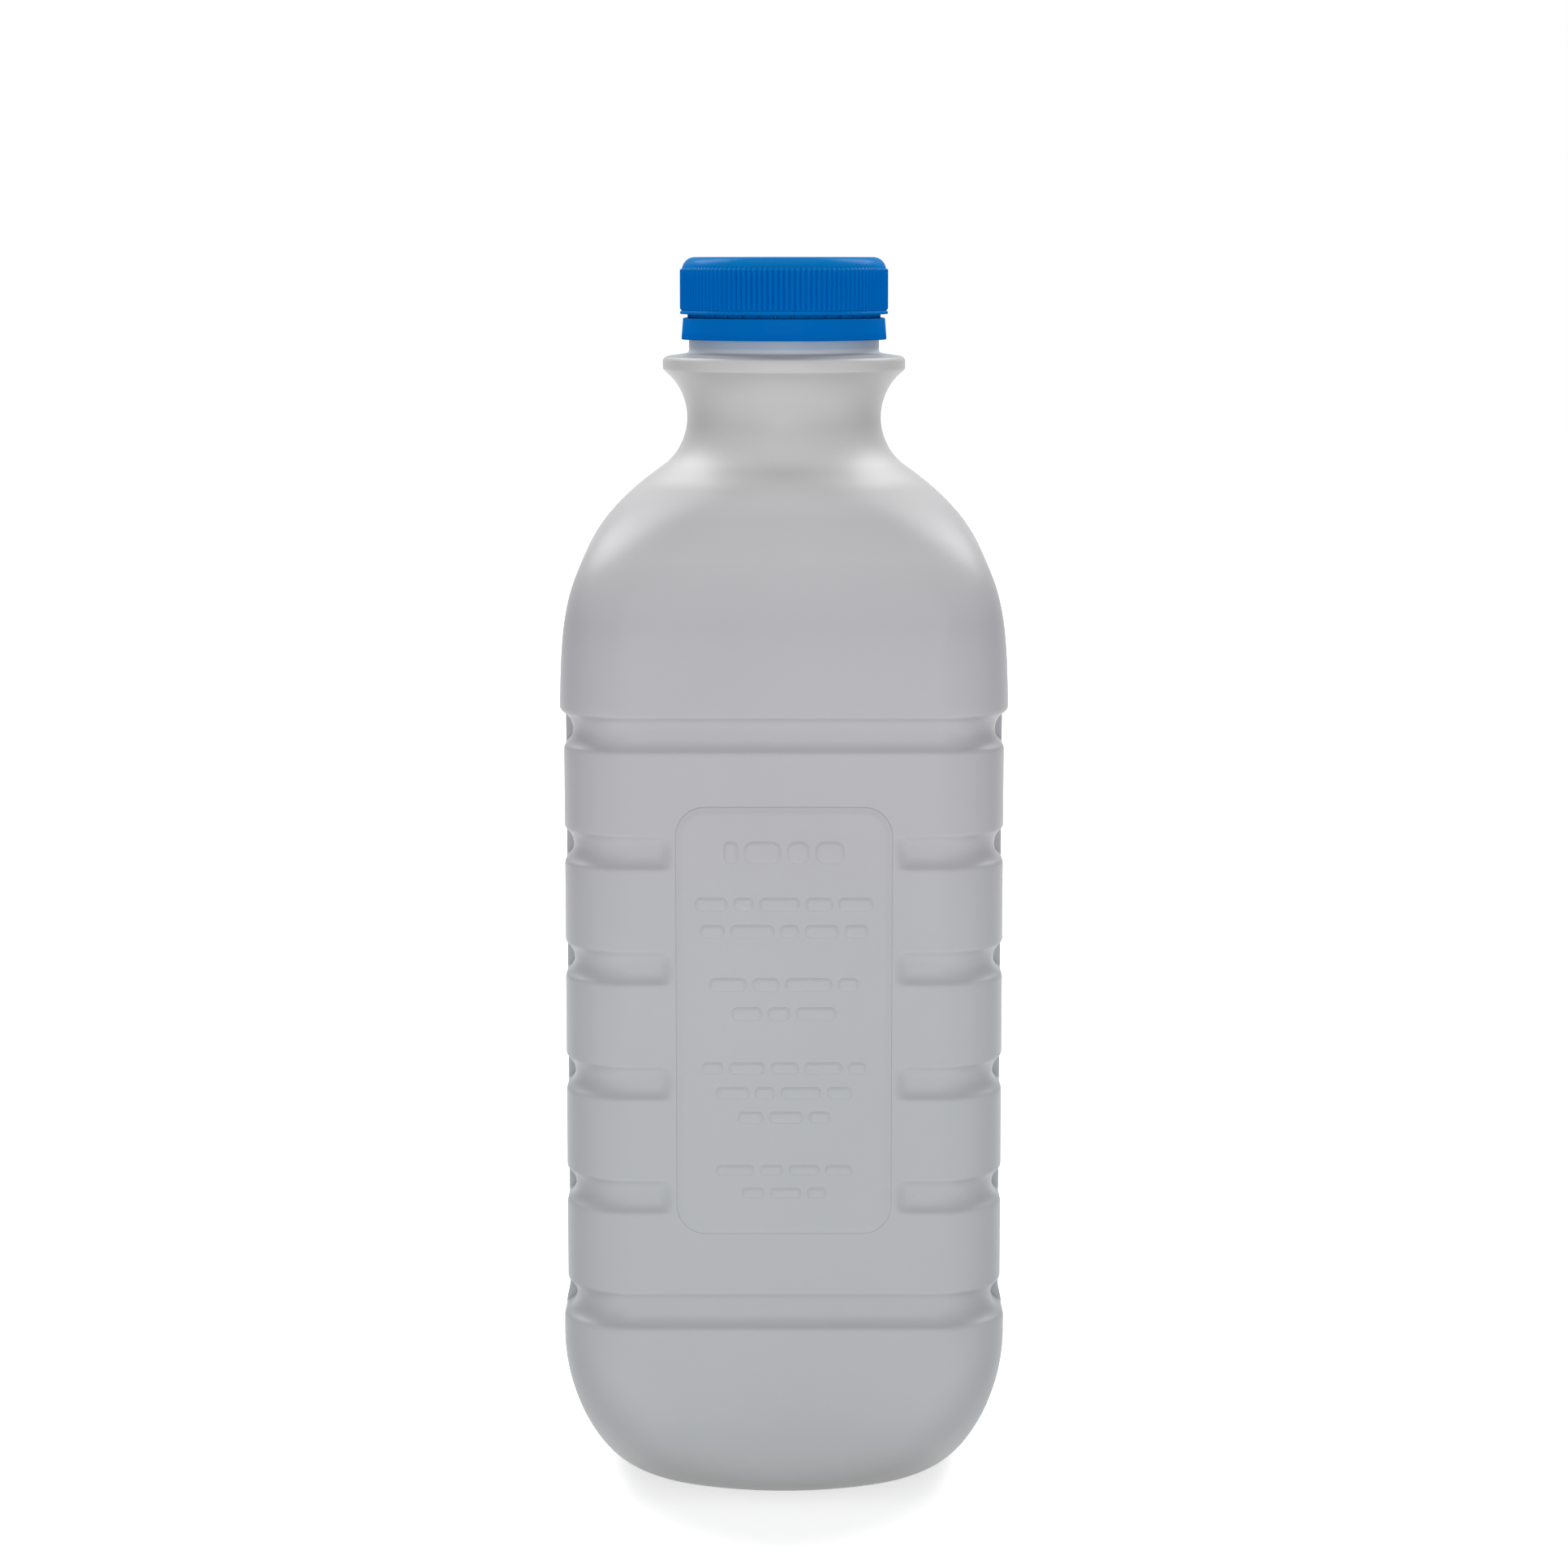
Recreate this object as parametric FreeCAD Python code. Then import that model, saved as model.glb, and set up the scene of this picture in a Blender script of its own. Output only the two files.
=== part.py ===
"""Capped plastic milk bottle: a grooved rounded-square body, its screw cap and its tamper band."""
import FreeCAD, Part
import math
import os

from FreeCAD import Vector

# Driving dimensions, in millimetres and degrees. The origin is on the floor, on the bottle's axis.

# Plan of the body: a square with round corners
body_half_width = 40.75
body_corner_radius = 13.5
bumper_step = 0.7

# Heel, from the floor up to the lower bumper
heel_height = 31.2
heel_drop = 2.9
foot_half_width = 28.5
foot_core = 7.25
foot_reach = 12.9
foot_angle = 81.0
heel_rounding_power = 1.9
heel_face_bulge = 32.0
base_recess_radius = 20.0
base_recess_depth = 2.0

# Grooves round the body
lower_bumper_height = 2.6
groove_count = 6
groove_pitch = 21.1
groove_depth = 1.7
groove_bottom_radius = 3.6
groove_lip_radius = 1.25

# Plain lands that interrupt the grooves on the faces
front_land_half_length = 20.5
side_land_half_length = 21.0
side_land_foot_rise = 0.5
side_land_top_rise = 1.7
side_land_edge = 0.7

# Raised panel on the front and back faces
panel_half_width = 19.5
panel_overhang_above = 8.4
panel_overhang_below = 6.8
panel_corner_radius = 5.3
panel_height = 0.35

# Shoulder and waist
shoulder_rise = 51.0
shoulder_draft = 1.2
shoulder_lower_reach = 20.4
shoulder_upper_reach = 20.3
square_hold = 4.2
rounding_rise = 35.2
rounding_power = 4.2
shoulder_face_bulge = 17.0
waist_radius = 17.97
waist_curve_radius = 10.96
waist_joint_angle = 54.8

# Collar and neck
collar_overhang = 4.9
collar_lower_edge_radius = 0.8
collar_upper_edge_radius = 1.0
collar_edge_height = 1.1
collar_top_slope = 0.5
neck_radius = 17.6
neck_fillet_radius = 0.7

# Tamper band
band_gap = 1.85
band_height = 4.0
band_top_wall = 0.99
band_bottom_wall = 1.29
band_edge_radius = 0.2
slit_height = 0.7
bridge_count = 36
bridge_spacing = 0.7
bridge_wall = 0.65

# Screw cap
cap_clearance = 0.25
cap_wall = 1.55
cap_top_thickness = 1.5
cap_rim_height = 0.7
cap_rim_edge_radius = 0.2
knurl_count = 120
knurl_depth = 0.3
knurl_height = 7.7
crown_height = 2.1
crown_edge_radius = 2.4
crown_inset = 0.42

# Sections in each loft, and the bow below which a face counts as flat
heel_sections = 9
shoulder_sections = 13
blend_run = 2.0
flat_limit = 0.005

# Heights and places that follow from the sizes above
core = body_half_width - body_corner_radius
face_half_width = body_half_width - bumper_step
groove_centre_x = face_half_width - groove_depth + groove_bottom_radius


def lip_offset(half_width):
    """Height from a groove's middle to where its lip meets a face of this half width."""
    reach = groove_bottom_radius + groove_lip_radius
    across = groove_centre_x - (half_width - groove_lip_radius)
    return math.sqrt(reach ** 2 - across ** 2)


face_lip = lip_offset(face_half_width)
bumper_lip = lip_offset(body_half_width)
lowest_groove_z = heel_height + lower_bumper_height + bumper_lip
groove_heights = [lowest_groove_z + index * groove_pitch for index in range(groove_count)]
shoulder_z = groove_heights[-1] + bumper_lip
waist_z = shoulder_z + shoulder_rise
collar_radius = neck_radius + collar_overhang
collar_edge_reach = waist_curve_radius + collar_lower_edge_radius
collar_edge_across = waist_radius + waist_curve_radius - collar_radius + collar_lower_edge_radius
collar_edge_z = waist_z + math.sqrt(collar_edge_reach ** 2 - collar_edge_across ** 2)
collar_top_z = collar_edge_z + collar_edge_height + collar_upper_edge_radius
neck_base_z = collar_top_z + collar_top_slope
band_bottom_z = neck_base_z + neck_fillet_radius + band_gap
band_top_z = band_bottom_z + band_height
cap_bottom_z = band_top_z + slit_height
knurl_bottom_z = cap_bottom_z + cap_rim_height
knurl_top_z = knurl_bottom_z + knurl_height
cap_top_z = knurl_top_z + crown_height
neck_top_z = cap_top_z - cap_top_thickness
bore_radius = neck_radius + cap_clearance
cap_radius = bore_radius + cap_wall
bridge_outer_radius = bore_radius + bridge_wall


def polar(radius, angle, height=0.0):
    """Point at a radius and an angle about the axis."""
    return Vector(radius * math.cos(angle), radius * math.sin(angle), height)


def turned(shape, angle):
    """Copy of a shape turned about the bottle's axis."""
    copy = shape.copy()
    copy.rotate(Vector(0, 0, 0), Vector(0, 0, 1), angle)
    return copy


def joined(shapes):
    """One clean solid from shapes that touch or overlap."""
    result = shapes[0].multiFuse(shapes[1:]).removeSplitter()
    return result.Solids[0] if len(result.Solids) == 1 else result


def line(start, end):
    """Straight edge."""
    return Part.LineSegment(start, end).toShape()


def arc(start, middle, end):
    """Circular edge through three points."""
    return Part.Arc(start, middle, end).toShape()


def revolved(edges):
    """Solid turned about the axis from an outline in the XZ plane."""
    face = Part.Face(Part.Wire(edges))
    return face.revolve(Vector(0, 0, 0), Vector(0, 0, 1), 360)


def section(half_width, section_core, bulge, height):
    """Rounded-square outline: four faces, each bowed out by an angle, and four corner arcs."""
    corner_radius = half_width - section_core * (1 + math.tan(bulge / 2))
    face_end = Vector(section_core + corner_radius * math.cos(bulge),
                      section_core + corner_radius * math.sin(bulge), height)
    corner_end = Vector(face_end.y, face_end.x, height)
    diagonal = section_core + corner_radius * math.sqrt(0.5)
    face_start = Vector(face_end.x, -face_end.y, height)
    if half_width - face_end.x > flat_limit:
        face = arc(face_start, Vector(half_width, 0, height), face_end)
    else:
        face = line(face_start, face_end)
    corner = arc(face_end, Vector(diagonal, diagonal, height), corner_end)
    edges = []
    for quarter in range(4):
        edges.append(turned(face, 90 * quarter))
        edges.append(turned(corner, 90 * quarter))
    return Part.Wire(edges)


def bezier(points, share):
    """Point on a cubic curve with four control points."""
    rest = 1 - share
    weights = (rest ** 3, 3 * rest ** 2 * share, 3 * rest * share ** 2, share ** 3)
    x = sum(weight * point[0] for weight, point in zip(weights, points))
    z = sum(weight * point[1] for weight, point in zip(weights, points))
    return x, z


def below(shape, height):
    """The part of a shape below a height."""
    reach = 4 * body_half_width
    tool = Part.makeBox(reach, reach, reach, Vector(-reach / 2, -reach / 2, height))
    return shape.cut(tool)


def above(shape, height):
    """The part of a shape above a height."""
    reach = 4 * body_half_width
    tool = Part.makeBox(reach, reach, reach, Vector(-reach / 2, -reach / 2, height - reach))
    return shape.cut(tool)


def heel():
    """Bottom of the body: the square plan draws in to a nearly round foot."""
    angle = math.radians(foot_angle)
    curve = (
        (body_half_width, heel_height),
        (body_half_width, heel_height - heel_drop),
        (foot_half_width + foot_reach * math.sin(angle), foot_reach * math.cos(angle)),
        (foot_half_width, 0.0),
    )
    wires = []
    for extra in (2, 1):
        wires.append(section(body_half_width, core, 0, heel_height + extra * blend_run))
    for index in range(heel_sections + 1):
        half_width, height = bezier(curve, index / heel_sections)
        rounding = ((heel_height - height) / heel_height) ** heel_rounding_power
        section_core = core + (foot_core - core) * rounding
        bulge = math.radians(heel_face_bulge) * (1 - section_core / core)
        wires.append(section(half_width, section_core, bulge, height))
    solid = below(Part.makeLoft(wires, True, False), heel_height)
    sphere_radius = (base_recess_radius ** 2 + base_recess_depth ** 2) / (2 * base_recess_depth)
    recess = Part.makeSphere(sphere_radius, Vector(0, 0, base_recess_depth - sphere_radius))
    return solid.cut(recess)


def groove_edges(height, lower_face, upper_face, inset):
    """Lip, groove bottom and lip in the XZ plane, from bottom to top, moved in by the inset."""
    middle = Vector(groove_centre_x - inset, 0, height)
    bottom = Vector(face_half_width - groove_depth - inset, 0, height)
    share = groove_bottom_radius / (groove_bottom_radius + groove_lip_radius)
    ends = []
    lips = []
    for face, way in ((lower_face, -1), (upper_face, 1)):
        lip_middle = Vector(face - groove_lip_radius - inset, 0, height + way * lip_offset(face))
        joint = middle + (lip_middle - middle) * share
        top = lip_middle + Vector(groove_lip_radius, 0, 0)
        between = (joint - lip_middle).normalize() + (top - lip_middle).normalize()
        crown = lip_middle + between.normalize() * groove_lip_radius
        ends.append(joint)
        lips.append((joint, crown, top))
    low_joint, low_crown, low_top = lips[0]
    high_joint, high_crown, high_top = lips[1]
    edges = [arc(low_top, low_crown, low_joint), arc(ends[0], bottom, ends[1])]
    edges.append(arc(high_joint, high_crown, high_top))
    return edges, low_top, high_top


def side_profile(inset):
    """Closed outline of the grooved wall, from a vertical line out to the wall."""
    start = Vector(body_half_width - inset, 0, heel_height)
    edges = []
    last = start
    for index, height in enumerate(groove_heights):
        lower_face = body_half_width if index == 0 else face_half_width
        upper_face = body_half_width if index == groove_count - 1 else face_half_width
        groove, low, high = groove_edges(height, lower_face, upper_face, inset)
        edges.append(line(last, low))
        edges.extend(groove)
        last = high
    top_inside = Vector(0, 0, shoulder_z)
    bottom_inside = Vector(0, 0, heel_height)
    edges.extend([line(last, top_inside), line(top_inside, bottom_inside)])
    edges.append(line(bottom_inside, start))
    return Part.Face(Part.Wire(edges))


def grooved_body():
    """Middle of the body: four grooved slabs, four grooved corner posts and the plain lands."""
    slab = side_profile(0.0).extrude(Vector(0, 2 * core, 0))
    slab.translate(Vector(0, -core, 0))
    post = side_profile(core).revolve(Vector(0, 0, 0), Vector(0, 0, 1), 90)
    post.translate(Vector(core, core, 0))
    pieces = []
    for quarter in range(4):
        pieces.append(turned(slab, 90 * quarter))
        pieces.append(turned(post, 90 * quarter))
    pieces.extend(side_lands())
    pieces.append(front_lands())
    return joined(pieces)


def side_lands():
    """Plain strip up each side face, sloped out to the lower bumper and stepped to the upper."""
    top_edge = groove_heights[-1] + side_land_top_rise
    foot = groove_heights[0] - bumper_lip
    points = [
        Vector(0, 0, foot),
        Vector(body_half_width, 0, foot),
        Vector(face_half_width, 0, groove_heights[0] + side_land_foot_rise),
        Vector(face_half_width, 0, top_edge),
        Vector(body_half_width, 0, top_edge + side_land_edge),
        Vector(body_half_width, 0, shoulder_z),
        Vector(0, 0, shoulder_z),
    ]
    outline = Part.makePolygon(points + points[:1])
    strip = Part.Face(outline).extrude(Vector(0, 2 * side_land_half_length, 0))
    strip.translate(Vector(0, -side_land_half_length, 0))
    return [strip, turned(strip, 180)]


def front_lands():
    """Plain block through the body that fills the inner grooves on the front and back faces."""
    low = groove_heights[1] - face_lip
    high = groove_heights[-2] + face_lip
    corner = Vector(-front_land_half_length, -face_half_width, low)
    return Part.makeBox(2 * front_land_half_length, 2 * face_half_width, high - low, corner)


def panels():
    """Raised plate with round corners on the front face, and its twin on the back."""
    low = groove_heights[1] - panel_overhang_below
    high = groove_heights[-2] + panel_overhang_above
    corner = Vector(-panel_half_width, -face_half_width - panel_height, low)
    plate = Part.makeBox(2 * panel_half_width, 2 * panel_height, high - low, corner)
    upright = [edge for edge in plate.Edges if abs(edge.Length - 2 * panel_height) < 1e-6]
    plate = plate.makeFillet(panel_corner_radius, upright)
    return [plate, turned(plate, 180)]


def waist_point(angle):
    """Point on the waist's curve, by its angle below the narrowest height."""
    radius = waist_radius + waist_curve_radius * (1 - math.cos(angle))
    return radius, waist_z - waist_curve_radius * math.sin(angle)


def shoulder():
    """Shoulder: the square plan turns round as it rises to the waist."""
    joint_angle = math.radians(waist_joint_angle)
    draft = math.radians(shoulder_draft)
    joint = waist_point(joint_angle)
    curve = (
        (body_half_width, shoulder_z),
        (body_half_width - shoulder_lower_reach * math.sin(draft),
         shoulder_z + shoulder_lower_reach * math.cos(draft)),
        (joint[0] + shoulder_upper_reach * math.sin(joint_angle),
         joint[1] - shoulder_upper_reach * math.cos(joint_angle)),
        joint,
    )
    stations = [bezier(curve, index / shoulder_sections) for index in range(shoulder_sections + 1)]
    stations.extend(waist_point(joint_angle - step * blend_run / waist_curve_radius) for step in (1, 2))
    wires = []
    for extra in (2, 1):
        wires.append(section(body_half_width, core, 0, shoulder_z - extra * blend_run))
    for half_width, height in stations:
        rise = (height - shoulder_z - square_hold) / rounding_rise
        rounding = min(max(rise, 0.0), 1.0) ** rounding_power
        section_core = core * (1 - rounding)
        bulge = math.radians(shoulder_face_bulge) * rounding
        wires.append(section(half_width, section_core, bulge, height))
    return below(above(Part.makeLoft(wires, True, False), shoulder_z), joint[1])


def neck():
    """Waist, collar and plain neck up to the underside of the cap's top."""
    joint_angle = math.radians(waist_joint_angle)
    low_radius, low_z = waist_point(joint_angle)
    waist_middle = Vector(waist_radius + waist_curve_radius, 0, waist_z)
    edge_middle = Vector(collar_radius - collar_lower_edge_radius, 0, collar_edge_z)
    edge_low = edge_middle + (waist_middle - edge_middle).normalize() * collar_lower_edge_radius
    edge_high = edge_middle + Vector(collar_lower_edge_radius, 0, 0)
    between = (edge_low - edge_middle).normalize() + Vector(1, 0, 0)
    edge_crown = edge_middle + between.normalize() * collar_lower_edge_radius

    upper_middle = Vector(collar_radius - collar_upper_edge_radius, 0,
                          collar_top_z - collar_upper_edge_radius)
    half = math.sqrt(0.5)
    upper_crown = upper_middle + Vector(half, 0, half) * collar_upper_edge_radius
    upper_low = upper_middle + Vector(collar_upper_edge_radius, 0, 0)
    upper_high = upper_middle + Vector(0, 0, collar_upper_edge_radius)

    fillet_middle = Vector(neck_radius + neck_fillet_radius, 0, neck_base_z + neck_fillet_radius)
    fillet_low = fillet_middle - Vector(0, 0, neck_fillet_radius)
    fillet_crown = fillet_middle - Vector(half, 0, half) * neck_fillet_radius
    fillet_high = fillet_middle - Vector(neck_fillet_radius, 0, 0)

    low = Vector(low_radius, 0, low_z)
    top = Vector(neck_radius, 0, neck_top_z)
    edges = [
        arc(low, Vector(waist_radius, 0, waist_z), edge_low),
        arc(edge_low, edge_crown, edge_high),
        line(edge_high, upper_low),
        arc(upper_low, upper_crown, upper_high),
        line(upper_high, fillet_low),
        arc(fillet_low, fillet_crown, fillet_high),
        line(fillet_high, top),
        line(top, Vector(0, 0, neck_top_z)),
        line(Vector(0, 0, neck_top_z), Vector(0, 0, low_z)),
        line(Vector(0, 0, low_z), low),
    ]
    return revolved(edges)


def bottle():
    """The filled bottle as one solid, heel to neck."""
    return joined([heel(), grooved_body(), shoulder(), neck()] + panels())


def tamper_band():
    """Flared ring below the cap, with the short bridges that hold it to the cap."""
    outline = Part.makePolygon([
        Vector(bore_radius, 0, band_bottom_z),
        Vector(bore_radius + band_bottom_wall, 0, band_bottom_z),
        Vector(bore_radius + band_top_wall, 0, band_top_z),
        Vector(bore_radius, 0, band_top_z),
        Vector(bore_radius, 0, band_bottom_z),
    ])
    ring = revolved(outline.Edges)
    rims = [edge for edge in ring.Edges
            if isinstance(edge.Curve, Part.Circle) and edge.Curve.Radius > bridge_outer_radius]
    ring = ring.makeFillet(band_edge_radius, rims)
    web = Part.makeCylinder(bridge_outer_radius, slit_height, Vector(0, 0, band_top_z))
    web = web.cut(Part.makeCylinder(bore_radius, slit_height, Vector(0, 0, band_top_z)))
    gap = Part.makeBox(cap_radius, bridge_spacing, slit_height,
                       Vector(0, -bridge_spacing / 2, band_top_z))
    gaps = [turned(gap, 360 * index / bridge_count) for index in range(bridge_count)]
    return joined([ring] + web.cut(Part.makeCompound(gaps)).Solids)


def knurled_ring():
    """Solid disc whose edge is a ring of rounded ribs."""
    pitch = 2 * math.pi / knurl_count
    valley_radius = cap_radius - knurl_depth
    edges = []
    for index in range(knurl_count):
        start = polar(valley_radius, index * pitch, knurl_bottom_z)
        crest = polar(cap_radius, (index + 0.5) * pitch, knurl_bottom_z)
        end = polar(valley_radius, (index + 1) * pitch, knurl_bottom_z)
        edges.append(arc(start, crest, end))
    return Part.Face(Part.Wire(edges)).extrude(Vector(0, 0, knurl_height))


def crown():
    """Top of the cap, with a wide round edge."""
    base_radius = cap_radius - crown_inset
    drop = crown_edge_radius - crown_height
    middle = Vector(base_radius - math.sqrt(crown_edge_radius ** 2 - drop ** 2), 0,
                    cap_top_z - crown_edge_radius)
    base = Vector(base_radius, 0, knurl_top_z)
    top = middle + Vector(0, 0, crown_edge_radius)
    between = (base - middle).normalize() + Vector(0, 0, 1)
    return revolved([
        arc(base, middle + between.normalize() * crown_edge_radius, top),
        line(top, Vector(0, 0, cap_top_z)),
        line(Vector(0, 0, cap_top_z), Vector(0, 0, knurl_top_z)),
        line(Vector(0, 0, knurl_top_z), base),
    ])


def cap():
    """Screw cap over the neck: plain rim, knurled skirt and rounded crown."""
    rim = Part.makeCylinder(cap_radius, cap_rim_height, Vector(0, 0, cap_bottom_z))
    lower_rim = [edge for edge in rim.Edges
                 if isinstance(edge.Curve, Part.Circle) and edge.BoundBox.ZMax < knurl_bottom_z - 1e-6]
    rim = rim.makeFillet(cap_rim_edge_radius, lower_rim)
    bore = Part.makeCylinder(bore_radius, neck_top_z - cap_bottom_z, Vector(0, 0, cap_bottom_z))
    return joined([rim, knurled_ring(), crown()]).cut(bore)


def main():
    os.makedirs("parts", exist_ok=True)
    nodes = {"bottle": bottle(), "tamper_band": tamper_band(), "cap": cap()}
    for name, shape in nodes.items():
        shape.exportStep("parts/" + name + ".step")
        box = shape.BoundBox
        print(name, "solids", len(shape.Solids), "valid", shape.isValid(),
              "volume", round(shape.Volume / 1000, 2), "ml",
              "size", round(box.XLength, 2), round(box.YLength, 2), round(box.ZLength, 2))


main()
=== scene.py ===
"""Plastic milk bottle: its wall, panels, cap and tamper band, and a plain white studio."""
import math
from collections import namedtuple

import bmesh
import bpy
from bpy.props import FloatProperty, FloatVectorProperty, IntProperty, PointerProperty
from mathutils import Matrix, Vector


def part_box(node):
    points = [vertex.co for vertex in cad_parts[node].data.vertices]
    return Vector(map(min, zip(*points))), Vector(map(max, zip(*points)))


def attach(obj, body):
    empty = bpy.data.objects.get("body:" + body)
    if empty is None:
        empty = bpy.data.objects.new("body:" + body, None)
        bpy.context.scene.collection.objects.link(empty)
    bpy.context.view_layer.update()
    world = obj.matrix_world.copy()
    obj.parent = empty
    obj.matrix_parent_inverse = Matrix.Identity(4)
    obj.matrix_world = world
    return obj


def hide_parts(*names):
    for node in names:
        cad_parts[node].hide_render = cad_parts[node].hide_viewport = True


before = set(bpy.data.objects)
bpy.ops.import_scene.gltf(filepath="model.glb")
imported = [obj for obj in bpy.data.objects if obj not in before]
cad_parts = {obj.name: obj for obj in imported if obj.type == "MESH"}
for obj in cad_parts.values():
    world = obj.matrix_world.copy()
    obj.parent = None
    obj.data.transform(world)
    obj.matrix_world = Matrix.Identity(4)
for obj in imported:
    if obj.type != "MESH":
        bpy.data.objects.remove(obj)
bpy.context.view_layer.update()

bl_info = {
    "name": "Plastic Milk Bottle",
    "version": (1, 0, 0),
    "blender": (4, 5, 0),
    "location": "3D View > Sidebar > Milk Bottle",
    "description": "Builds a grooved plastic milk bottle with its cap, tamper band and studio",
    "category": "Add Mesh",
}

BOTTLE_HIGH = Vector(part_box("bottle")[1])
CAP_LOW, CAP_HIGH = (Vector(corner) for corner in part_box("cap"))
BAND_LOW = Vector(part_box("tamper_band")[0])
BODY = "root"
RIGHT_ANGLE = math.pi / 2
MERGE_DISTANCE = 1e-7
SHORTEST_EDGE = 1e-8

# A flat face is given this bow, as a section's sum divides by its sine
LEAST_BULGE = 1e-4

# How finely the outlines are divided
DISH_STEPS = 8
HEEL_STEPS = 26
LIP_STEPS = 5
GROOVE_STEPS = 14
SHOULDER_STEPS = 38
WAIST_STEPS = 22
COLLAR_STEPS = 6
CORNER_STEPS = 20
FACE_END_STEPS = 4
PLATE_STEPS = 6
CAP_EDGE_STEPS = 4
CROWN_STEPS = 12

# Where the upright columns stand: shares of a land, and of the width of the wall at its end
LAND_SHARES = (0.08, 0.17, 0.28, 0.39, 0.5, 0.61, 0.72, 0.82, 0.9)
WALL_SHARES = (-0.55, -0.35, -0.15, 0.05, 0.25, 0.45, 0.8)

# Upright line of the bottle's wall: its quarter of the way round, whether it is on a face or on
# the corner after it, its share of that, and its distance from the face's middle
Column = namedtuple("Column", "quarter on_face share distance")

# Level of the bottle's wall: its height, its half width in a groove, beside a groove and on the
# front and side lands, half the length of its straight sides, and the bow of its faces. The front
# is None where a groove runs right across.
Row = namedtuple("Row", "height groove plain front side core bulge")


# Settings that a user would change

def size(name, default, description):
    """Length property in metres."""
    return FloatProperty(name=name, default=default, description=description, unit="LENGTH",
                         precision=5)


def turn(name, degrees, description):
    """Angle property, given in degrees."""
    return FloatProperty(name=name, default=math.radians(degrees), description=description,
                         unit="ROTATION")


def number(name, default, description):
    """Plain number property."""
    return FloatProperty(name=name, default=default, description=description, precision=4)


def count(name, default, description):
    """Whole number property."""
    return IntProperty(name=name, default=default, description=description, min=1)


def paint(name, default, description):
    """Colour property."""
    return FloatVectorProperty(name=name, default=default, description=description,
                               subtype="COLOR", size=3, min=0.0, max=1.0)


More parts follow.
